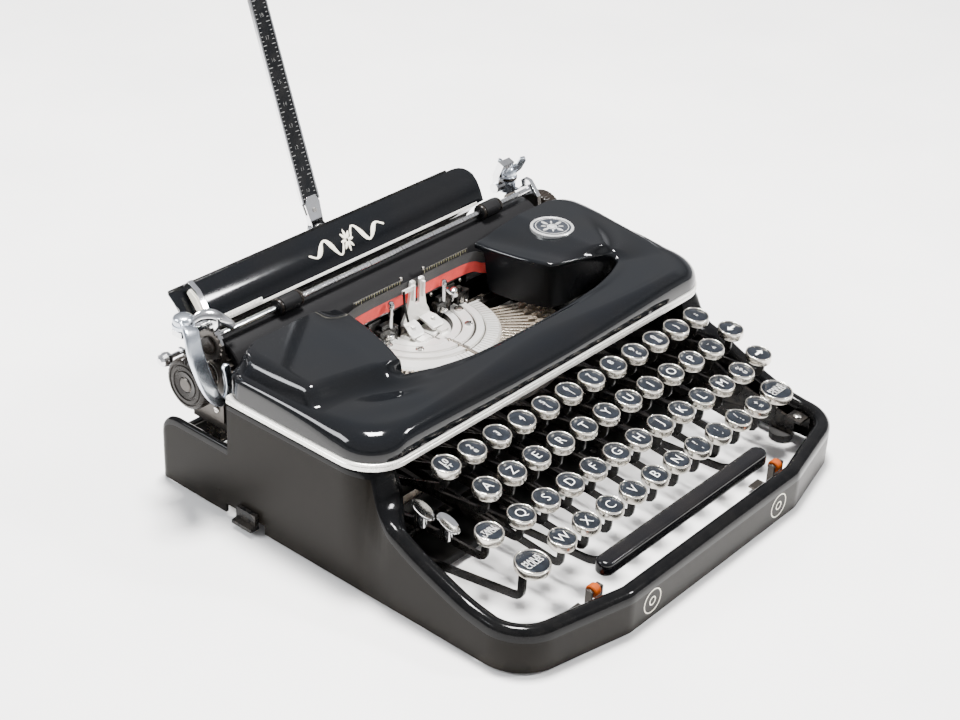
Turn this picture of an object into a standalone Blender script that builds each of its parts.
"""Portable typewriter with four rows of round keys, as an assembly of separate solids.

All dimensions below are millimetres in the machine's own frame: X to the typist's right with zero on
the casing's centre plane, Y away from the typist with zero under the top row of keys, Z up from the
table. Meshes are written in metres. An empty called machine_origin carries every piece and moves the
whole machine so that the bottom centre of its bounding box lies on the world origin.
"""
import math

import bmesh
import bpy
from mathutils import Matrix, Vector

MM = 0.001

# Casing
CASE_HALF_WIDTH = 139.5
CASE_FRONT_Y = -95.0
CASE_REAR_Y = 168.0
CASE_BOTTOM = 1.6
CASE_WALL = 1.6
FRONT_BEND_X = 73.5
FRONT_CORNER_Y = -79.5
FRONT_CORNER_RADIUS = 26.0
FRONT_BEND_RADIUS = 20.0
REAR_CORNER_RADIUS = 6.0
RIM_WIDTH = 9.0
REAR_RIM_WIDTH = 3.5
STEP_Y = 114.4
# Height of the rim's outer edge along the side, as (y, z) stations.
RIM_PROFILE = ((-200.0, 22.5), (-60.0, 22.5), (-46.0, 24.5), (-34.7, 28.0), (-23.0, 32.2), (-12.0, 36.6),
               (0.0, 42.6), (9.0, 48.6), (13.5, 54.5), (17.0, 62.0), (20.0, 68.4), (STEP_Y, 68.4),
               (STEP_Y + 0.3, 41.0), (153.0, 41.0), (158.5, 39.8), (162.5, 36.8), (165.6, 31.5),
               (CASE_REAR_Y, 24.5), (300.0, 24.5))

# Trim strip and ribbon cover
STRIP_FRONT_Y = 13.6
STRIP_CORNER_RADIUS = 22.0
STRIP_LOW = 68.8
STRIP_HIGH = 73.2
STRIP_PROUD = 0.7
STRIP_DEPTH = 3.4
COVER_LOW = 73.6
COVER_REAR_Y = 117.2
COVER_WALL = 1.6
COVER_SHOULDER = 14.0

# Keys
KEY_PITCH = 19.0
KEY_RADIUS = 7.35
KEY_HEIGHT = 5.0
KEY_SIDES = 14
# Each row: x of its first key, y, height of the key tops, height of the lever's low bend, key count.
KEY_ROWS = ((-103.0, 0.0, 69.0, 55.0, 12), (-93.0, -17.6, 59.8, 44.0, 11),
            (-87.2, -35.0, 49.4, 33.5, 11), (-77.2, -53.2, 39.5, 22.5, 10))
BANK_COUNT = 12
LEVER_THICKNESS = 1.6
LEVER_DEPTH = 4.0
FULCRUM_Y = 62.0
FULCRUM_Z = 34.0
FULCRUM_ROD_RADIUS = 2.0
HUB_BORE = 2.45
HUB_RADIUS = 4.2

# Space bar and shift frame
SPACE_BAR_HALF_LENGTH = 71.0
SPACE_BAR_CENTRE_X = -3.0
SPACE_BAR_FRONT_Y = -79.0
SPACE_BAR_REAR_Y = -69.0
SPACE_BAR_TOP = 33.0
SPACE_BAR_HEIGHT = 7.5
SPACE_ARM_X = (-61.6, 52.4)
SPACE_PIVOT_Y = 46.0
SPACE_PIVOT_Z = 14.0
SHIFT_PIVOT_Y = 30.0
SHIFT_PIVOT_Z = 7.5
SHIFT_KEY_RADIUS = 9.2

# Type basket
PRINT_Y = 113.0
SEGMENT_INNER = 20.0
SEGMENT_OUTER = 48.0
SEGMENT_LOW = 50.0
SEGMENT_HIGH = 60.0
CROSS_BAR_X = 128.6
TYPEBAR_PIVOT_Y = 88.0
TYPEBAR_PIVOT_Z = 58.0
TYPEBAR_LENGTH = 39.0
FAN_OUTER = 86.0
FAN_BARS = 42

# Ribbon
SPOOL_X = 100.0
SPOOL_Y = 92.5
SPOOL_RADIUS = 18.0
SPOOL_LOW = 63.0
SPOOL_HIGH = 79.0
RIBBON_Y = 115.5

# Carriage
CARRIAGE_X = -3.6
PLATEN_Y = 135.5
PLATEN_Z = 73.8
PLATEN_RADIUS = 17.0
PLATEN_HALF_LENGTH = 121.0
SHAFT_RADIUS = 4.0
END_PLATE_X = 124.5
END_PLATE_THICKNESS = 3.0
KNOB_RADIUS = 14.0
KNOB_INNER_X = 134.0
KNOB_OUTER_X = 144.5
PAPER_TABLE_LEFT = -139.5
PAPER_TABLE_RIGHT = 87.5
BAIL_Y = 133.0
BAIL_Z = 95.4
BAIL_PIVOT_Y = 140.3
BAIL_PIVOT_Z = 91.0
BAIL_ROD_RADIUS = 1.6
BAIL_ROLLER_RADIUS = 4.7
BAIL_ROLLER_X = (-78.5, 82.5)
FEED_ROLLER_RADIUS = 4.5
RETURN_PIVOT = (-148.7, 134.0)
ARM_PIVOT = (-26.5, 163.0, 109.0)
ARM_LEAN_DEG = 21.0
ARM_LENGTH = 148.0
ARM_WIDTH = 13.0

# Colour, roughness and metallic value of each material
MATERIALS = {
    "enamel_black": ((0.010, 0.011, 0.013), 0.12, 0.0),
    "satin_black": ((0.020, 0.019, 0.018), 0.42, 0.0),
    "trim_cream": ((0.62, 0.58, 0.50), 0.28, 0.6),
    "chrome": ((0.80, 0.80, 0.82), 0.12, 1.0),
    "nickel": ((0.66, 0.63, 0.58), 0.24, 1.0),
    "steel": ((0.42, 0.38, 0.34), 0.34, 1.0),
    "lever_black": ((0.015, 0.015, 0.016), 0.32, 0.0),
    "platen_rubber": ((0.030, 0.031, 0.034), 0.48, 0.0),
    "foot_rubber": ((0.015, 0.015, 0.015), 0.75, 0.0),
    "bakelite": ((0.022, 0.018, 0.016), 0.30, 0.0),
    "gloss_plastic": ((0.012, 0.012, 0.014), 0.14, 0.0),
    "ribbon_ink": ((0.45, 0.03, 0.02), 0.65, 0.0),
}


# ---------------------------------------------------------------- geometry helpers

def clear_scene():
    for item in list(bpy.data.objects):
        bpy.data.objects.remove(item, do_unlink=True)


def make_material(name):
    colour, roughness, metallic = MATERIALS[name]
    material = bpy.data.materials.get(name) or bpy.data.materials.new(name)
    material.use_nodes = True
    shader = material.node_tree.nodes["Principled BSDF"]
    shader.inputs["Base Color"].default_value = (*colour, 1.0)
    shader.inputs["Roughness"].default_value = roughness
    shader.inputs["Metallic"].default_value = metallic
    material.diffuse_color = (*colour, 1.0)
    return material


def mesh_from(points, faces):
    """A closed mesh from millimetre points, its faces turned outwards."""
    build = bmesh.new()
    corners = [build.verts.new(Vector(point) * MM) for point in points]
    for face in faces:
        build.faces.new([corners[index] for index in face])
    bmesh.ops.recalc_face_normals(build, faces=build.faces)
    mesh = bpy.data.meshes.new("solid")
    build.to_mesh(mesh)
    build.free()
    return mesh


def loft(rings, closed=False):
    """Join rings of points in order, and cap the two ends unless the loft closes on itself."""
    size = len(rings[0])
    points = [point for ring in rings for point in ring]
    faces = []
    spans = len(rings) if closed else len(rings) - 1
    for ring in range(spans):
        here = ring * size
        there = ((ring + 1) % len(rings)) * size
        for index in range(size):
            after = (index + 1) % size
            faces.append((here + index, here + after, there + after, there + index))
    if not closed:
        faces.append(tuple(range(size)))
        faces.append(tuple(range(len(points) - size, len(points))))
    return mesh_from(points, faces)


def along(axis, first, second, level):
    """A point at `level` on the named axis and at (first, second) on the other two, in X, Y, Z order."""
    if axis == "x":
        return (level, first, second)
    if axis == "y":
        return (first, level, second)
    return (first, second, level)


def prism(outline, axis, low, high):
    return loft([[along(axis, a, b, level) for a, b in outline] for level in (low, high)])


def block(low, high):
    outline = ((low[0], low[1]), (high[0], low[1]), (high[0], high[1]), (low[0], high[1]))
    return prism(outline, "z", low[2], high[2])


def circle(centre, radius, sides, phase=0.5):
    steps = [2 * math.pi * (index + phase) / sides for index in range(sides)]
    return [(centre[0] + radius * math.cos(t), centre[1] + radius * math.sin(t)) for t in steps]


def turned(profile, axis, centre, sides=16):
    """Turn (radius, level) points about an axis; the profile runs from end to end of a solid piece."""
    return loft([[along(axis, a, b, level) for a, b in circle(centre, radius, sides)]
                 for radius, level in profile])


def bushed(profile, axis, centre, sides=16):
    """Turn a closed (radius, level) outline that stays off the axis, such as a tube's wall."""
    return loft([[along(axis, a, b, level) for a, b in circle(centre, radius, sides)]
                 for radius, level in profile], closed=True)


def tube(axis, centre, outer, inner, low, high, sides=16):
    return bushed(((outer, low), (outer, high), (inner, high), (inner, low)), axis, centre, sides)


def strip_outline(path, half_width):
    """The outline of a bar of constant width that follows a bent path, with mitred bends."""
    left, right = [], []
    for index, point in enumerate(path):
        here = Vector(point)
        before = (here - Vector(path[index - 1])).normalized() if index else None
        after = (Vector(path[index + 1]) - here).normalized() if index + 1 < len(path) else None
        before = before or after
        after = after or before
        tangent = (before + after).normalized()
        normal = Vector((-tangent.y, tangent.x))
        reach = half_width / max(0.5, normal.dot(Vector((-before.y, before.x))))
        left.append(tuple(here + normal * reach))
        right.append(tuple(here - normal * reach))
    return left + right[::-1]


def combined(base, tool, operation):
    """The exact union or difference of two closed meshes."""
    first = bpy.data.objects.new("base", base)
    second = bpy.data.objects.new("tool", tool)
    for item in (first, second):
        bpy.context.scene.collection.objects.link(item)
    change = first.modifiers.new("change", "BOOLEAN")
    change.operation = operation
    change.solver = "EXACT"
    change.object = second
    result = bpy.data.meshes.new_from_object(first.evaluated_get(bpy.context.evaluated_depsgraph_get()))
    for item in (first, second):
        bpy.data.objects.remove(item, do_unlink=True)
    return result


def fused(*meshes):
    whole = meshes[0]
    for mesh in meshes[1:]:
        whole = combined(whole, mesh, "UNION")
    return whole


def cut(mesh, *tools):
    for tool in tools:
        mesh = combined(mesh, tool, "DIFFERENCE")
    return mesh


def add_part(name, mesh, material, origin=(0.0, 0.0, 0.0)):
    """Put a solid into the scene with its origin at `origin`, which is on its joint's axis if it moves."""
    offset = Vector(origin) * MM
    mesh = mesh.copy()
    mesh.name = name
    mesh.transform(Matrix.Translation(-offset))
    mesh.materials.clear()
    mesh.materials.append(make_material(material))
    mesh.shade_smooth()
    mesh.set_sharp_from_angle(angle=math.radians(32))
    part = bpy.data.objects.new(name, mesh)
    bpy.context.scene.collection.objects.link(part)
    part.location = offset
    part.parent = machine_origin()
    return part


def machine_origin():
    empty = bpy.data.objects.get("machine_origin")
    if empty is None:
        empty = bpy.data.objects.new("machine_origin", None)
        bpy.context.scene.collection.objects.link(empty)
    return empty


def centre_machine():
    """Move the machine so that its bounding box stands centred on the world origin."""
    bpy.context.view_layer.update()
    corners = [part.matrix_world @ vertex.co for part in bpy.data.objects if part.type == "MESH"
               for vertex in part.data.vertices]
    low = Vector(min(corner[axis] for corner in corners) for axis in range(3))
    high = Vector(max(corner[axis] for corner in corners) for axis in range(3))
    machine_origin().location = (-(low.x + high.x) / 2, -(low.y + high.y) / 2, -low.z)


# ---------------------------------------------------------------- plan outlines

def rounded_path(corners, steps=4):
    """Points and outward normals along a polygon whose (x, y, radius) corners are rounded.

    The corners run clockwise seen from above, so the outside lies to the left of the path.
    """
    path = []
    count = len(corners)
    for index in range(count):
        before = Vector(corners[index - 1][:2])
        corner = Vector(corners[index][:2])
        after = Vector(corners[(index + 1) % count][:2])
        radius = corners[index][2]
        arriving = (corner - before).normalized()
        leaving = (after - corner).normalized()
        turn = arriving.angle(leaving)
        side = 1.0 if arriving.cross(leaving) < 0 else -1.0
        setback = radius * math.tan(turn / 2)
        start = corner - arriving * setback
        normal = Vector((-arriving.y, arriving.x)) * side
        centre = start - normal * radius
        for step in range(steps + 1):
            angle = -side * turn * step / steps
            swung = Matrix.Rotation(angle, 2) @ normal
            path.append((centre + swung * radius, swung * side))
    return path


def subdivided(path, longest):
    """Add points on long straight stretches, so that a height that varies along them is followed."""
    dense = []
    for index, (point, normal) in enumerate(path):
        following, next_normal = path[(index + 1) % len(path)]
        pieces = max(1, math.ceil((following - point).length / longest))
        for piece in range(pieces):
            share = piece / pieces
            dense.append((point.lerp(following, share), normal.lerp(next_normal, share).normalized()))
    return dense


def interpolated(stations, value):
    for (low, at_low), (high, at_high) in zip(stations, stations[1:]):
        if low <= value <= high:
            return at_low + (at_high - at_low) * (value - low) / (high - low)
    return stations[-1][1]


def corner_inset(y):
    """How far the trim strip's rounded front corner lies inside the casing's side at this y."""
    reach = STRIP_FRONT_Y + STRIP_CORNER_RADIUS - y
    if reach <= 0:
        return 0.0
    return STRIP_CORNER_RADIUS - math.sqrt(max(0.0, STRIP_CORNER_RADIUS ** 2 - reach ** 2))


def strip_path(proud=0.0, rear_y=STEP_Y - 0.4, steps=6):
    """Open path of the trim strip: right rear, round the front, to left rear, with outward normals."""
    half = CASE_HALF_WIDTH
    front = STRIP_FRONT_Y
    radius = STRIP_CORNER_RADIUS
    path = [(Vector((half, y)), Vector((1, 0))) for y in (rear_y, 90.0, 62.0)]
    for step in range(steps + 1):
        angle = -math.pi / 2 * step / steps
        outward = Vector((math.cos(angle), math.sin(angle)))
        path.append((Vector((half - radius, front + radius)) + outward * radius, outward))
    path += [(Vector((x, front)), Vector((0, -1))) for x in (70.0, 35.0, 0.0)]
    mirrored = [(Vector((-point.x, point.y)), Vector((-normal.x, normal.y))) for point, normal in path[-2::-1]]
    return [(point + normal * proud, normal) for point, normal in path + mirrored]


# ---------------------------------------------------------------- casing and cover

def casing_rings():
    half = CASE_HALF_WIDTH
    corners = ((FRONT_BEND_X, CASE_FRONT_Y, FRONT_BEND_RADIUS), (-FRONT_BEND_X, CASE_FRONT_Y, FRONT_BEND_RADIUS),
               (-half, FRONT_CORNER_Y, FRONT_CORNER_RADIUS), (-half, CASE_REAR_Y, REAR_CORNER_RADIUS),
               (half, CASE_REAR_Y, REAR_CORNER_RADIUS), (half, FRONT_CORNER_Y, FRONT_CORNER_RADIUS))
    path = []
    for point, normal in subdivided(rounded_path(corners), 400.0):
        path.append((point, normal))
    side_stations = [y for y, _ in RIM_PROFILE[2:-4]] + [27.0, 35.6]
    for side in (-1, 1):
        path += [(Vector((side * half, y)), Vector((side, 0))) for y in side_stations]
    path.sort(key=lambda entry: -math.atan2(entry[0].y - 35.0, entry[0].x))
    return path


def casing():
    """The sheet casing: one wall round the machine with a rolled rim turned inwards along its top."""
    rings = []
    for point, normal in casing_rings():
        on_side = abs(normal.x) > 0.99
        height = interpolated(RIM_PROFILE, point.y)
        width = RIM_WIDTH
        crown = 3.2
        lean = 0.0
        if on_side and 0.0 < point.y < STEP_Y + 0.2:
            lean = corner_inset(point.y) if point.y >= 20.0 else corner_inset(20.0) * max(0.0, point.y - 4) / 16
            growth = min(1.0, point.y / STRIP_FRONT_Y)
            width = RIM_WIDTH + 12.0 * growth if point.y < 20.0 else lean + 4.5
            crown = 3.2 * (1 - growth)
        elif point.y >= STEP_Y:
            width = REAR_RIM_WIDTH
            crown = 0.6
        inward = -normal
        section = ((0.0, CASE_BOTTOM), (lean, height), (lean + 1.0, height + 0.75 * crown),
                   (lean + 0.42 * (width - lean), height + crown), (width - 0.6, height + 0.6 * crown),
                   (width, height - 0.6), (width - 0.7, height - 1.6), (lean + CASE_WALL, height - 1.8),
                   (CASE_WALL, CASE_BOTTOM))
        rings.append([(*(point + inward * inset), z) for inset, z in section])
    shell = loft(rings, closed=True)
    notches = [block((side * half_in - 3, 88.0, 0.0), (side * half_in + 3, 116.5, 7.0))
               for side in (-1, 1) for half_in in (CASE_HALF_WIDTH,)]
    return cut(shell, *notches)


def trim_strip():
    rings = []
    for point, normal in strip_path():
        outer = point + normal * STRIP_PROUD
        inner = point - normal * STRIP_DEPTH
        rings.append([(*outer, STRIP_LOW), (*outer, STRIP_HIGH), (*inner, STRIP_HIGH), (*inner, STRIP_LOW)])
    return loft(rings)


# The cover as stations from the right rear round the front to the left rear: a point on the outer
# outline, the matching point on the edge of the type opening, the height of the shoulder's top, the
# height of that edge, how deep the edge is turned down, and the shoulder's radius.
COVER_STATIONS = (
    ((129.3, 116.6), (52.5, COVER_REAR_Y), 86.4, 89.5, 3.0, 4.0),
    ((136.4, 113.7), (52.6, 111.0), 86.4, 89.5, 3.2, 4.0),
    ((139.3, 106.0), (52.8, 105.0), 86.4, 89.7, 26.0, 4.5),
    ((139.3, 92.0), (53.8, 90.0), 86.4, 90.5, 27.0, 4.5),
    ((139.3, 80.0), (56.6, 76.0), 86.4, 91.2, 27.0, 5.0),
    ((139.3, 72.0), (60.5, 67.0), 86.4, 91.5, 27.0, 5.5),
    ((139.3, 66.0), (70.0, 63.6), 86.4, 91.0, 26.0, 6.0),
    ((139.3, 59.0), (84.0, 60.4), 86.4, 90.0, 22.0, 7.0),
    ((139.3, 50.0), (96.0, 57.5), 86.4, 88.2, 14.0, 9.0),
    ((139.3, 43.0), (100.2, 54.6), 86.4, 87.0, 8.0, 11.0),
    ((139.3, 36.0), (99.6, 52.2), 86.5, 86.0, 6.0, 13.0),
    ((136.2, 24.0), (92.0, 48.6), 86.6, 85.6, 5.0, 15.0),
    ((128.4, 16.8), (80.0, 44.8), 86.6, 85.4, 5.0, 16.0),
    ((117.0, 13.8), (62.0, 41.4), 86.6, 85.3, 5.0, 17.0),
    ((60.0, 13.8), (32.0, 39.6), 86.5, 85.2, 5.0, 17.0),
    ((0.0, 13.8), (0.0, 39.6), 86.5, 85.2, 5.0, 17.0),
    ((-60.0, 13.8), (-32.0, 40.8), 86.5, 85.2, 5.0, 17.0),
    ((-117.0, 13.8), (-58.0, 45.6), 86.6, 85.3, 5.0, 17.0),
    ((-128.4, 16.8), (-70.0, 50.4), 86.6, 85.4, 5.0, 16.0),
    ((-136.2, 24.0), (-74.0, 51.6), 86.5, 85.4, 6.0, 15.0),
    ((-139.3, 38.0), (-76.0, 52.2), 86.4, 85.6, 7.0, 12.0),
    ((-139.3, 54.0), (-77.4, 52.9), 86.4, 87.4, 10.0, 8.0),
    ((-139.3, 68.0), (-77.6, 54.4), 86.4, 94.0, 20.0, 6.0),
    ((-139.3, 80.0), (-72.6, 66.4), 86.4, 94.0, 26.0, 5.0),
    ((-139.3, 94.0), (-66.5, 85.4), 86.4, 94.0, 26.0, 4.5),
    ((-139.3, 106.0), (-61.6, 104.0), 86.4, 93.2, 26.0, 4.5),
    ((-136.4, 113.7), (-59.6, 111.0), 86.4, 91.4, 3.2, 4.0),
    ((-129.3, 116.6), (-58.6, COVER_REAR_Y), 86.4, 90.0, 3.0, 4.0),
)
# Where each dome's flat top ends towards the typist, as (x, y) stations.
RIGHT_CREASE = ((52.0, 66.0), (60.0, 63.6), (102.0, 58.0), (127.0, 56.5), (140.0, 56.0))
LEFT_CREASE = ((-140.0, 68.0), (-124.0, 66.0), (-97.0, 59.5), (-78.0, 53.6), (-50.0, 50.0))
ROLL_TOP = 86.4
LEFT_DOME_TOP = 94.8


def eased_step(low, high, value):
    share = min(1.0, max(0.0, (value - low) / (high - low)))
    return share * share * (3 - 2 * share)


def top_height(x, y, inset):
    """Height of the cover's top surface: level with the front roll, and raised over the two domes."""
    if x > 0:
        dome = 89.5 + 5.0 * min(1.0, max(0.0, (x - 52.0) / 38.0))
        crease = interpolated(RIGHT_CREASE, x)
    else:
        dome = LEFT_DOME_TOP - 4.6 * eased_step(-68.0, -54.0, x) * eased_step(92.0, 112.0, y)
        crease = interpolated(LEFT_CREASE, x)
    raised = eased_step(crease - 7.0, crease, y) * eased_step(2.0, 12.0, inset)
    return ROLL_TOP + (dome - ROLL_TOP) * raised


def cover_section(outer, inner, shoulder_top, edge_height, turn_down, radius):
    """One closed cross-section of the cover shell, from its outer foot over the top and back inside."""
    outer, inner = Vector(outer), Vector(inner)
    span = (inner - outer).length
    direction = (inner - outer) / span
    drop = min(radius, shoulder_top - COVER_LOW - 1.5)
    skin = [(0.0, COVER_LOW)]
    for step in range(4):
        angle = math.pi / 2 * step / 3
        skin.append((radius * (1 - math.cos(angle)), shoulder_top - drop + drop * math.sin(angle)))
    top = []
    for share in (0.10, 0.22, 0.5, 0.8):
        distance = radius + (span - radius) * share
        place = outer + direction * distance
        height = top_height(place.x, place.y, distance)
        top.append((distance, height + (edge_height - height) * eased_step(0.72, 1.0, share)))
    edge = [(span - 1.2, edge_height), (span, edge_height - 1.2), (span, edge_height - turn_down)]
    back = [(span - COVER_WALL, edge_height - turn_down), (span - COVER_WALL, edge_height - COVER_WALL - 1.4)]
    back += [(distance, height - COVER_WALL) for distance, height in top[::-1]]
    for step in range(3, -1, -1):
        angle = math.pi / 2 * step / 3
        back.append((COVER_WALL + (radius - COVER_WALL) * (1 - math.cos(angle)),
                     shoulder_top - drop + (drop - COVER_WALL) * math.sin(angle)))
    back.append((COVER_WALL, COVER_LOW))
    return [(*(outer + direction * distance), height) for distance, height in skin + top + edge + back]


def ribbon_cover():
    return loft([cover_section(*station) for station in COVER_STATIONS])


def case_latch(side):
    outline = ((139.9, 3.2), (145.5, 3.2), (145.5, 5.2), (142.4, 5.6), (142.4, 12.0), (139.9, 12.0))
    return prism([(side * x, z) for x, z in outline], "y", 92.0, 106.0)


def foot(x, y):
    return turned(((6.4, 0.0), (7.0, 1.0), (7.0, 4.6)), "z", (x, y), 12)


# ---------------------------------------------------------------- fixed frame and type basket

def chassis_side(side):
    """A steel side plate with the shelf that carries one ribbon spool and two lugs towards the casing."""
    outline = ((-58, 5), (158, 5), (158, 20), (116, 33), (112, 60), (40, 60), (32, 42), (6, 33), (-14, 24),
               (-58, 14))
    plate = prism(outline, "x", side * 131.0, side * 129.0)
    shelf = block((min(side * 130.0, side * 76.0), 72.0, 45.0), (max(side * 130.0, side * 76.0), 108.0, 47.0))
    lugs = [block((min(side * 130.0, side * 137.6), y, 7.0), (max(side * 130.0, side * 137.6), y + 14, 13.0))
            for y in (-54.0, 132.0)]
    return fused(plate, shelf, *lugs)


def type_segment():
    """The slotted semicircle that bears the typebars, on the cross beam between the side plates."""
    steps = 16
    angles = [math.pi + math.pi * index / steps for index in range(steps + 1)]
    outer = [(SEGMENT_OUTER * math.cos(t), PRINT_Y + SEGMENT_OUTER * math.sin(t)) for t in angles]
    inner = [(SEGMENT_INNER * math.cos(t), PRINT_Y + SEGMENT_INNER * math.sin(t)) for t in reversed(angles)]
    body = prism(outer + inner, "z", SEGMENT_LOW, SEGMENT_HIGH)
    slot = block((-1.6, PRINT_Y - SEGMENT_OUTER - 3, SEGMENT_LOW + 3.5), (1.6, PRINT_Y, SEGMENT_HIGH + 2))
    beam = block((-CROSS_BAR_X, 107.0, 48.0), (CROSS_BAR_X, 112.0, 56.0))
    bracket = block((-60.0, 108.0, 49.0), (60.0, 116.4, 55.0))
    return fused(cut(body, slot), beam, bracket)


def typebar_fan():
    """The resting typebars, as one plate with a finger for each bar round the segment."""
    low, high = 53.4, 55.6
    root_radius = SEGMENT_OUTER + 0.8
    start, stop = math.radians(198), math.radians(342)
    pitch = (stop - start) / FAN_BARS
    outline = []
    for index in range(FAN_BARS):
        middle = start + pitch * (index + 0.5)
        for radius, offset in ((root_radius + 3, -0.5), (root_radius + 3, -0.24), (FAN_OUTER, -0.16),
                               (FAN_OUTER, 0.16), (root_radius + 3, 0.24)):
            angle = middle + offset * pitch
            outline.append((radius * math.cos(angle), PRINT_Y + radius * math.sin(angle)))
    for index in range(15):
        angle = stop - pitch * 0.5 + (start - stop) * index / 14
        outline.append((root_radius * math.cos(angle), PRINT_Y + root_radius * math.sin(angle)))
    return prism(outline, "z", low, high)


def centre_typebar():
    arm = block((-0.8, TYPEBAR_PIVOT_Y - TYPEBAR_LENGTH + 2, TYPEBAR_PIVOT_Z - 1.7),
                (0.8, TYPEBAR_PIVOT_Y + 2.5, TYPEBAR_PIVOT_Z + 1.7))
    head = block((-1.6, TYPEBAR_PIVOT_Y - TYPEBAR_LENGTH, TYPEBAR_PIVOT_Z - 2.0),
                 (1.6, TYPEBAR_PIVOT_Y - TYPEBAR_LENGTH + 5, TYPEBAR_PIVOT_Z + 4.5))
    return fused(arm, head)


def ribbon_vibrator():
    """The type guide: two upright prongs in front of the ribbon on a common foot."""
    outline = ((-11, 62), (11, 62), (9.5, 70), (7.4, 78), (6.6, 91), (3.4, 91), (3.4, 74), (-3.4, 74),
               (-3.4, 91), (-6.6, 91), (-7.4, 78), (-9.5, 70))
    return prism(outline, "y", 112.6, 114.4)


def ribbon_band():
    """The inked ribbon as a thin upright band from spool to spool, lowered where it enters the domes."""
    stations = ((-84.0, 113.2, 64.0), (-68.0, 114.8, 66.0), (-58.0, RIBBON_Y, 69.0), (-44.0, RIBBON_Y, 73.6),
                (0.0, RIBBON_Y, 74.0), (44.0, RIBBON_Y, 73.6), (58.0, RIBBON_Y, 69.0), (68.0, 114.8, 66.0),
                (84.0, 113.2, 64.0))
    return loft([[(x, y - 0.3, z), (x, y + 0.3, z), (x, y + 0.3, z + 13), (x, y - 0.3, z + 13)]
                 for x, y, z in stations])


def spool(x):
    profile = ((3.0, 47.5), (3.0, SPOOL_LOW - 0.5), (SPOOL_RADIUS, SPOOL_LOW), (SPOOL_RADIUS, SPOOL_LOW + 1.2),
               (SPOOL_RADIUS - 5, SPOOL_LOW + 1.3), (SPOOL_RADIUS - 5, SPOOL_HIGH - 1.3),
               (SPOOL_RADIUS, SPOOL_HIGH - 1.2), (SPOOL_RADIUS, SPOOL_HIGH), (4.0, SPOOL_HIGH + 0.2),
               (3.0, SPOOL_HIGH + 2.5))
    return turned(profile, "z", (x, SPOOL_Y), 20)


def mainspring_drum():
    return turned(((6, 9), (20, 10), (20, 24), (6, 25), (4, 30)), "z", (-85.0, 142.0), 20)


# ---------------------------------------------------------------- keys

def round_key(x, y, top, radius=KEY_RADIUS, sides=KEY_SIDES):
    """A key head: a short disc whose front edge is a little lower than its rear edge."""
    tilt = 0.10
    rings = []
    for scale, level in ((0.86, top - KEY_HEIGHT), (1.0, top - KEY_HEIGHT + 1.0), (1.0, top - 0.4), (0.94, top)):
        rings.append([(a, b, level + (b - y) * tilt) for a, b in circle((x, y), radius * scale, sides)])
    return loft(rings)


def key_lever(x, path, thickness=LEVER_THICKNESS, depth=LEVER_DEPTH):
    return prism(strip_outline(path, depth / 2), "x", x - thickness / 2, x + thickness / 2)


def row_key(row, index):
    first_x, y, top, bend, _ = KEY_ROWS[row]
    x = first_x + KEY_PITCH * index
    path = ((y, top - KEY_HEIGHT + 1.5), (y, bend), (FULCRUM_Y - HUB_BORE - 1.2, FULCRUM_Z + 0.6))
    return [key_lever(x, path), round_key(x, y, top)]


def hub(low, high, centre=(FULCRUM_Y, FULCRUM_Z), bore=HUB_BORE, radius=HUB_RADIUS):
    return tube("x", centre, radius, bore, low, high, 12)


def bank_keys(bank):
    """The (row, index) of each key on a bank; the lowest row is stepped one place to the right."""
    keys = [(0, bank)]
    keys += [(row, bank) for row in (1, 2) if bank < KEY_ROWS[row][4]]
    if 0 <= bank - 1 < KEY_ROWS[3][4]:
        keys.append((3, bank - 1))
    return keys


def key_bank(bank):
    positions = [KEY_ROWS[row][0] + KEY_PITCH * index for row, index in bank_keys(bank)]
    pieces = [hub(min(positions) - 1.4, max(positions) + 1.4)]
    for row, index in bank_keys(bank):
        pieces += row_key(row, index)
    return fused(*pieces)


def side_key(key_x, y, top, lever_x, bend, radius=KEY_RADIUS):
    """A function key on its own lever, whose hub turns on the same rod as the character keys."""
    path = ((y, top - KEY_HEIGHT + 1.5), (y, bend), (FULCRUM_Y - HUB_BORE - 1.2, FULCRUM_Z + 0.6))
    return fused(hub(lever_x - 1.6, lever_x + 1.6), key_lever(lever_x, path), round_key(key_x, y, top, radius))


def paddle_key(x, y, top):
    """A thumb paddle: an oval plate leaning back on the end of a flat lever."""
    path = ((y + 1.5, top - 3), (y + 3, top - 12), (FULCRUM_Y - HUB_BORE - 1.2, FULCRUM_Z + 0.6))
    rings = []
    for lift in (0.0, 2.0):
        ring = circle((0, 0), 1.0, 12)
        rings.append([(x + 4.8 * a - 0.35 * lift, y + 6.4 * b - 0.5 * lift, top - 4 + lift + 3.0 * b - 1.0 * a)
                      for a, b in ring])
    return fused(hub(x - 1.4, x + 1.4), key_lever(x, path), loft(rings))


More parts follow.
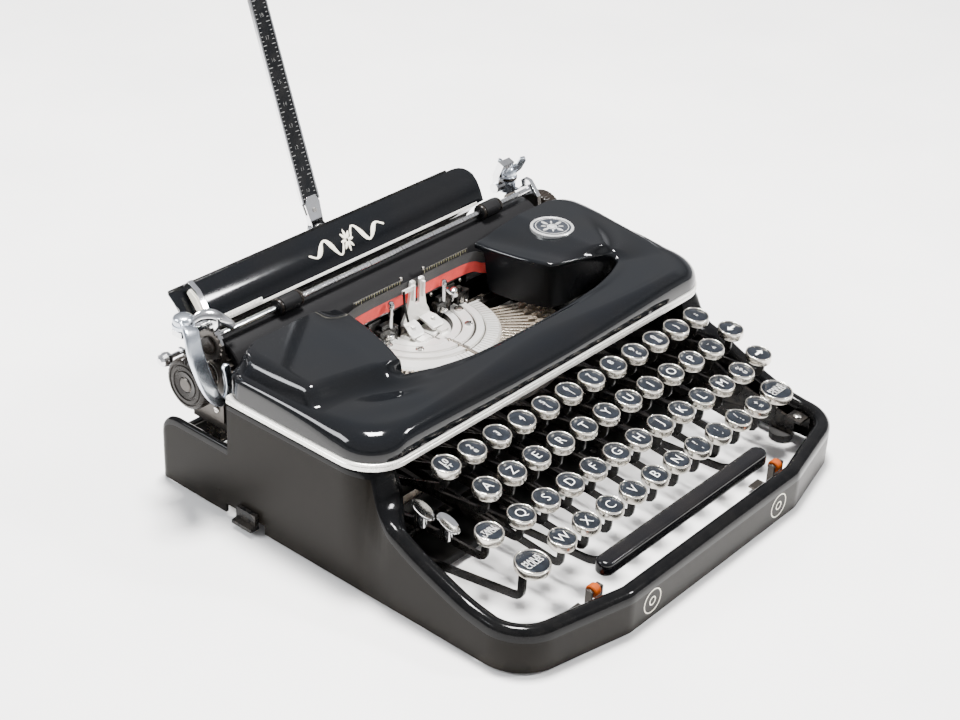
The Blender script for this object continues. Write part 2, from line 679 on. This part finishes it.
def space_bar():
    low = SPACE_BAR_TOP - SPACE_BAR_HEIGHT
    middle_y = (SPACE_BAR_FRONT_Y + SPACE_BAR_REAR_Y) / 2
    half_depth = (SPACE_BAR_REAR_Y - SPACE_BAR_FRONT_Y) / 2
    straight = SPACE_BAR_HALF_LENGTH - half_depth
    plan = []
    for side, start in ((1, -math.pi / 2), (-1, math.pi / 2)):
        for step in range(7):
            angle = start + math.pi * step / 6
            plan.append((side * straight + half_depth * math.cos(angle), half_depth * math.sin(angle)))
    rings = []
    for level, shrink in ((low, 0.0), (SPACE_BAR_TOP - 1.6, 0.0), (SPACE_BAR_TOP, 1.4)):
        rings.append([(SPACE_BAR_CENTRE_X + x * (1 - shrink / SPACE_BAR_HALF_LENGTH),
                       middle_y + y * (1 - shrink / half_depth), level) for x, y in plan])
    pieces = [loft(rings)]
    path = ((SPACE_PIVOT_Y - 3.4, SPACE_PIVOT_Z + 0.2), (-60.0, 20.5), (middle_y, low + 2.0))
    for x in SPACE_ARM_X:
        pieces.append(key_lever(x, path, 2.0))
    pieces.append(tube("x", (SPACE_PIVOT_Y, SPACE_PIVOT_Z), 4.4, 2.45, SPACE_ARM_X[0] - 2, SPACE_ARM_X[1] + 2, 12))
    return fused(*pieces)


def shift_frame():
    """Both shift keys on one cross shaft, so that either one works the lift."""
    pieces = [turned(((2.4, -112.0), (2.4, 118.0)), "x", (SHIFT_PIVOT_Y, SHIFT_PIVOT_Z), 10)]
    for lever_x, key_x, key_y, top in ((-108.4, -101.5, -54.5, 38.4), (113.4, 114.0, -52.0, 39.4)):
        path = ((key_y, top - KEY_HEIGHT + 1.5), (key_y, 21.0), (SHIFT_PIVOT_Y - 1.5, SHIFT_PIVOT_Z + 0.5))
        pieces += [key_lever(lever_x, path, 2.0), round_key(key_x, key_y, top, SHIFT_KEY_RADIUS, 16)]
    return fused(*pieces)


# ---------------------------------------------------------------- carriage

def end_plate(side):
    """A carriage end plate with its platen bearing and the bracket that stands before the paper table."""
    if side < 0:
        bracket = ((139.4, 95.4), (142.4, 103.8), (147.6, 111.6), (153.4, 117.2), (150.4, 120.6),
                   (144.0, 117.4), (138.0, 109.0), (128.8, 107.6), (CROSS_BAR_X, 103.6), (131.5, 99.0))
    else:
        bracket = ((139.4, 95.4), (142.4, 103.8), (146.6, 109.6), (145.0, 112.0), (139.5, 111.0),
                   (136.0, 106.0), (132.0, 99.0))
    outline = ((126.0, 47.4), (150.5, 47.4), (152.6, 84.0), (149.0, 88.4), (142.6, 92.4)) + bracket
    outline += ((127.4, 92.0), (126.0, 84.0))
    face = CARRIAGE_X + side * END_PLATE_X
    plate = prism(outline, "x", face, face + side * END_PLATE_THICKNESS)
    if side < 0:
        seat = block((RETURN_PIVOT[0] - 4.5, RETURN_PIVOT[1] - 3.5, 104.2),
                     (face - 1.0, RETURN_PIVOT[1] + 3.5, 107.4))
        plate = fused(plate, seat)
    bearing = turned(((SHAFT_RADIUS + 0.4, face - 9), (SHAFT_RADIUS + 0.4, face + 9)), "x",
                     (PLATEN_Y, PLATEN_Z), 16)
    return cut(plate, bearing)


def platen():
    half = PLATEN_HALF_LENGTH
    profile = ((SHAFT_RADIUS, -KNOB_OUTER_X + 1), (SHAFT_RADIUS, -half), (PLATEN_RADIUS - 0.6, -half),
               (PLATEN_RADIUS, -half + 0.8), (PLATEN_RADIUS, half - 0.8), (PLATEN_RADIUS - 0.6, half),
               (SHAFT_RADIUS, half), (SHAFT_RADIUS, KNOB_OUTER_X - 1))
    return turned([(radius, CARRIAGE_X + x) for radius, x in profile], "x", (PLATEN_Y, PLATEN_Z), 32)


def knob(side):
    bore = SHAFT_RADIUS + 0.3
    inner, outer = side * KNOB_INNER_X, side * KNOB_OUTER_X
    profile = ((bore, inner), (KNOB_RADIUS - 2, inner), (KNOB_RADIUS, inner + side * 1.5),
               (KNOB_RADIUS, outer - side * 2.5), (KNOB_RADIUS - 1.2, outer - side * 0.4),
               (KNOB_RADIUS - 3, outer), (bore, outer - side * 0.3))
    return bushed([(radius, CARRIAGE_X + x) for radius, x in profile], "x", (PLATEN_Y, PLATEN_Z), 24)


def carriage_frame():
    """The carriage's running bar with the margin rail behind it."""
    half = END_PLATE_X + 2
    bar = block((CARRIAGE_X - half, 124.0, 42.6), (CARRIAGE_X + half, 150.0, 46.8))
    rail = block((CARRIAGE_X - half, 149.0, 45.0), (CARRIAGE_X + half, 157.0, 46.8))
    lip = block((CARRIAGE_X - half, 154.5, 46.0), (CARRIAGE_X + half, 157.0, 53.0))
    return fused(bar, rail, lip)


def paper_table():
    """The bent sheet that leads the paper behind the platen and carries it above, with the arm's lug."""
    inside = CARRIAGE_X - PLATEN_HALF_LENGTH - 2.6
    apron = prism(strip_outline(((156.2, 68.0), (154.9, 80.0), (150.2, 88.4), (145.0, 93.4),
                                 (141.9, 97.1)), 0.8), "x", inside, PAPER_TABLE_RIGHT - 1.0)
    slope = ((141.4, 96.0), (144.8, 103.2), (149.8, 109.9), (155.6, 114.8))
    rings = []
    for x, keep in ((PAPER_TABLE_LEFT, 0), (PAPER_TABLE_RIGHT - 15, 0), (PAPER_TABLE_RIGHT - 6, 1),
                    (PAPER_TABLE_RIGHT, 2)):
        top = Vector(slope[3]).lerp(Vector(slope[2]), (0.0, 0.3, 0.98)[keep])
        rings.append([(x, y, z) for y, z in strip_outline(slope[:3] + (tuple(top),), 0.8)])
    lug = prism(((144.9, 102.5), (158.2, 102.5), (161.2, 110.4), (158.0, 113.6), (154.4, 113.2), (150.3, 109.6)), "x",
                ARM_PIVOT[0] - 8, ARM_PIVOT[0] + 8)
    return fused(loft(rings), apron, lug)


def paper_bail():
    low_x, high_x = CARRIAGE_X - END_PLATE_X + 1.2, CARRIAGE_X + END_PLATE_X - 1.2
    pieces = [turned(((BAIL_ROD_RADIUS, low_x), (BAIL_ROD_RADIUS, high_x)), "x", (BAIL_Y, BAIL_Z), 10)]
    path = ((BAIL_Y - 1.0, BAIL_Z + 0.6), (BAIL_PIVOT_Y + 1.5, BAIL_PIVOT_Z - 0.9))
    for low, high in ((low_x - 0.6, low_x + 1.2), (high_x - 1.2, high_x + 0.6)):
        pieces.append(prism(strip_outline(path, 2.6), "x", low, high))
    return fused(*pieces)


def bail_roller(x):
    return tube("x", (BAIL_Y, BAIL_Z), BAIL_ROLLER_RADIUS, BAIL_ROD_RADIUS + 0.35, x - 8, x + 8, 14)


def feed_roller():
    y, z = PLATEN_Y, PLATEN_Z - PLATEN_RADIUS - FEED_ROLLER_RADIUS - 0.3
    return turned(((FEED_ROLLER_RADIUS, CARRIAGE_X - 100), (FEED_ROLLER_RADIUS, CARRIAGE_X + 100)), "x", (y, z), 14)


def return_lever():
    """The carriage return lever: a flat bar from its hub, down in front of the knob, hooked up at its end."""
    path = ((-148.7, 134.0, 111.4), (-150.0, 127.2, 108.6), (-151.2, 123.2, 99.0), (-149.6, 120.4, 88.0),
            (-146.2, 119.3, 77.4), (-141.6, 119.3, 69.8), (-137.6, 119.3, 67.0), (-134.4, 119.3, 69.4),
            (-133.2, 119.3, 75.5), (-134.2, 119.3, 82.0), (-135.4, 119.3, 87.5))
    rings = []
    for index, point in enumerate(path):
        here = Vector(point)
        before = Vector(path[max(0, index - 1)])
        after = Vector(path[min(len(path) - 1, index + 1)])
        tangent = (after - before).normalized()
        across = tangent.cross(Vector((0.0, 1.0, 0.0)))
        across = across.normalized() if across.length > 0.2 else Vector((1.0, 0.0, 0.0))
        depth = tangent.cross(across).normalized()
        half = 3.4 - 1.1 * index / (len(path) - 1)
        rings.append([tuple(here + across * a * half + depth * b * 1.2)
                      for a, b in ((1, 0.5), (0.7, 1), (-0.7, 1), (-1, 0.5), (-1, -0.5), (-0.7, -1), (0.7, -1),
                                   (1, -0.5))])
    cap = turned(((5.2, 107.9), (5.6, 108.8), (5.6, 113.2), (4.4, 115.0)), "z", RETURN_PIVOT, 14)
    return fused(cap, loft(rings))


def paper_arm():
    """The folding paper support: a straight flat arm that leans back from its hinge disc."""
    lean = math.radians(ARM_LEAN_DEG)
    up = Vector((0.0, math.sin(lean), math.cos(lean)))
    back = Vector((0.0, math.cos(lean), -math.sin(lean)))
    side = Vector((1.0, 0.0, 0.0))
    base = Vector(ARM_PIVOT)
    half = ARM_WIDTH / 2

    def plate(outline, near, far):
        return loft([[tuple(base + side * a + up * b + back * depth) for a, b in outline]
                     for depth in (near, far)])

    blade = plate(((-half * 0.8, 4), (half * 0.8, 4), (half, 16), (half - 0.8, ARM_LENGTH - 4),
                   (half - 3, ARM_LENGTH), (-half + 3, ARM_LENGTH), (-half + 0.8, ARM_LENGTH - 4), (-half, 16)),
                  -0.8, 0.8)
    hinge = plate([(5.6 * math.cos(t * math.pi / 6), 5.6 * math.sin(t * math.pi / 6)) for t in range(12)], -1.6, 2.4)
    yoke = plate(((-4.2, 2), (4.2, 2), (5.0, 15), (-5.0, 15)), -1.6, 1.7)
    return fused(blade, yoke, hinge)


def paper_release():
    """The small ball-ended lever behind the left knob."""
    pivot = (153.6, 66.0)
    hub_x = CARRIAGE_X - END_PLATE_X - END_PLATE_THICKNESS - 0.4
    boss = turned(((3.0, hub_x - 3.0), (3.0, hub_x)), "x", pivot, 12)
    arm = prism(strip_outline((pivot, (154.0, 81.5)), 2.0), "x", hub_x - 2.6, hub_x - 0.6)
    rod = turned(((1.3, -144.0), (1.3, hub_x - 1.0)), "x", (154.0, 79.6), 8)
    ball = turned(((1.6, -148.2), (3.3, -147.0), (4.0, -144.4), (3.3, -141.8), (1.6, -140.6)), "x",
                  (154.0, 79.6), 12)
    return fused(boss, arm, rod, ball)


def carriage_release():
    """The thumb lever at the right end of the carriage."""
    path = ((147.5, 97.0), (148.0, 103.0), (146.0, 108.0), (144.5, 112.0))
    arm = prism(strip_outline(path, 2.2), "x", 106.0, 116.0)
    boss = turned(((3.0, 104.5), (3.0, 117.5)), "x", (147.5, 96.0), 12)
    return fused(arm, boss)


def margin_stop(x):
    body = block((x - 5, 157.5, 45.0), (x + 5, 162.5, 55.0))
    tab = block((x - 1.5, 158.5, 54.0), (x + 1.5, 161.5, 61.0))
    return fused(body, tab)


# ---------------------------------------------------------------- assembly

def build_fixed_parts():
    add_part("casing", casing(), "satin_black")
    add_part("trim_strip", trim_strip(), "trim_cream")
    for label, x, y in (("front_left", -130, -50), ("front_right", 130, -50), ("rear_left", -130, 150),
                        ("rear_right", 130, 150)):
        add_part("foot_" + label, foot(x, y), "foot_rubber")
    add_part("chassis_left", chassis_side(-1), "lever_black")
    add_part("chassis_right", chassis_side(1), "lever_black")
    add_part("case_latch_left", case_latch(-1), "steel")
    add_part("case_latch_right", case_latch(1), "steel")
    add_part("carriage_rail", block((-CROSS_BAR_X, 132.0, 33.0), (CROSS_BAR_X, 142.0, 42.0)), "steel")
    add_part("fulcrum_rod", turned(((FULCRUM_ROD_RADIUS, -CROSS_BAR_X), (FULCRUM_ROD_RADIUS, CROSS_BAR_X)), "x",
                                   (FULCRUM_Y, FULCRUM_Z), 12), "steel")
    add_part("space_bar_rod", turned(((2.0, -CROSS_BAR_X), (2.0, CROSS_BAR_X)), "x", (SPACE_PIVOT_Y, SPACE_PIVOT_Z), 12),
             "steel")
    add_part("lever_stop_bar", block((-CROSS_BAR_X, 18.0, 19.4), (CROSS_BAR_X, 22.0, 21.4)), "lever_black")
    add_part("type_segment", type_segment(), "chrome")
    add_part("typebar_fan", typebar_fan(), "steel")
    add_part("line_scale", block((-46.0, 116.8, 50.0), (46.0, 117.5, 90.4)), "satin_black")
    add_part("ribbon_band", ribbon_band(), "ribbon_ink")


def build_moving_parts():
    add_part("ribbon_cover", ribbon_cover(), "enamel_black", (0, 65, COVER_LOW))
    add_part("ribbon_spool_left", spool(-SPOOL_X), "steel", (-SPOOL_X, SPOOL_Y, SPOOL_LOW))
    add_part("ribbon_spool_right", spool(SPOOL_X), "steel", (SPOOL_X, SPOOL_Y, SPOOL_LOW))
    add_part("mainspring_drum", mainspring_drum(), "steel", (-85, 142, 10))
    add_part("center_typebar", centre_typebar(), "steel", (0, TYPEBAR_PIVOT_Y, TYPEBAR_PIVOT_Z))
    add_part("ribbon_vibrator", ribbon_vibrator(), "chrome", (0, 113.5, 62))


def build_keys():
    pivot = (0, FULCRUM_Y, FULCRUM_Z)
    for bank in range(BANK_COUNT):
        add_part("key_bank_%02d" % (bank + 1), key_bank(bank), "nickel", pivot)
    add_part("tab_key", side_key(-110.5, -34.5, 50.6, -112.6, 35.5), "nickel", pivot)
    add_part("backspace_key", side_key(119.0, -15.5, 61.6, 118.4, 45.5), "nickel", pivot)
    add_part("ribbon_key", side_key(119.5, -34.8, 53.4, 124.0, 37.5), "nickel", pivot)
    add_part("margin_paddle", paddle_key(-121.4, -2.0, 55.5), "chrome", pivot)
    add_part("clear_paddle", paddle_key(-117.0, -14.5, 51.5), "chrome", pivot)
    add_part("space_bar", space_bar(), "gloss_plastic", (0, SPACE_PIVOT_Y, SPACE_PIVOT_Z))
    add_part("shift_frame", shift_frame(), "nickel", (0, SHIFT_PIVOT_Y, SHIFT_PIVOT_Z))


def build_carriage():
    axis = (CARRIAGE_X, PLATEN_Y, PLATEN_Z)
    add_part("carriage_frame", carriage_frame(), "steel")
    add_part("end_plate_left", end_plate(-1), "chrome")
    add_part("end_plate_right", end_plate(1), "chrome")
    add_part("paper_table", paper_table(), "enamel_black")
    add_part("platen", platen(), "platen_rubber", axis)
    add_part("knob_left", knob(-1), "bakelite", axis)
    add_part("knob_right", knob(1), "bakelite", axis)
    add_part("feed_roller", feed_roller(), "platen_rubber",
             (CARRIAGE_X, PLATEN_Y, PLATEN_Z - PLATEN_RADIUS - FEED_ROLLER_RADIUS - 0.3))
    add_part("paper_bail", paper_bail(), "chrome", (CARRIAGE_X, BAIL_PIVOT_Y, BAIL_PIVOT_Z))
    for label, x in zip(("left", "right"), BAIL_ROLLER_X):
        add_part("bail_roller_" + label, bail_roller(x), "platen_rubber", (x, BAIL_Y, BAIL_Z))
    add_part("return_lever", return_lever(), "chrome", (*RETURN_PIVOT, 108))
    add_part("paper_arm", paper_arm(), "enamel_black", ARM_PIVOT)
    add_part("paper_release", paper_release(), "chrome", (-130, 153.6, 66.0))
    add_part("carriage_release", carriage_release(), "chrome", (111, 147.5, 96.0))
    add_part("margin_stop_left", margin_stop(-80.0), "nickel", (-80, 160, 50))
    add_part("margin_stop_right", margin_stop(80.0), "nickel", (80, 160, 50))


clear_scene()
build_fixed_parts()
build_moving_parts()
build_keys()
build_carriage()
centre_machine()
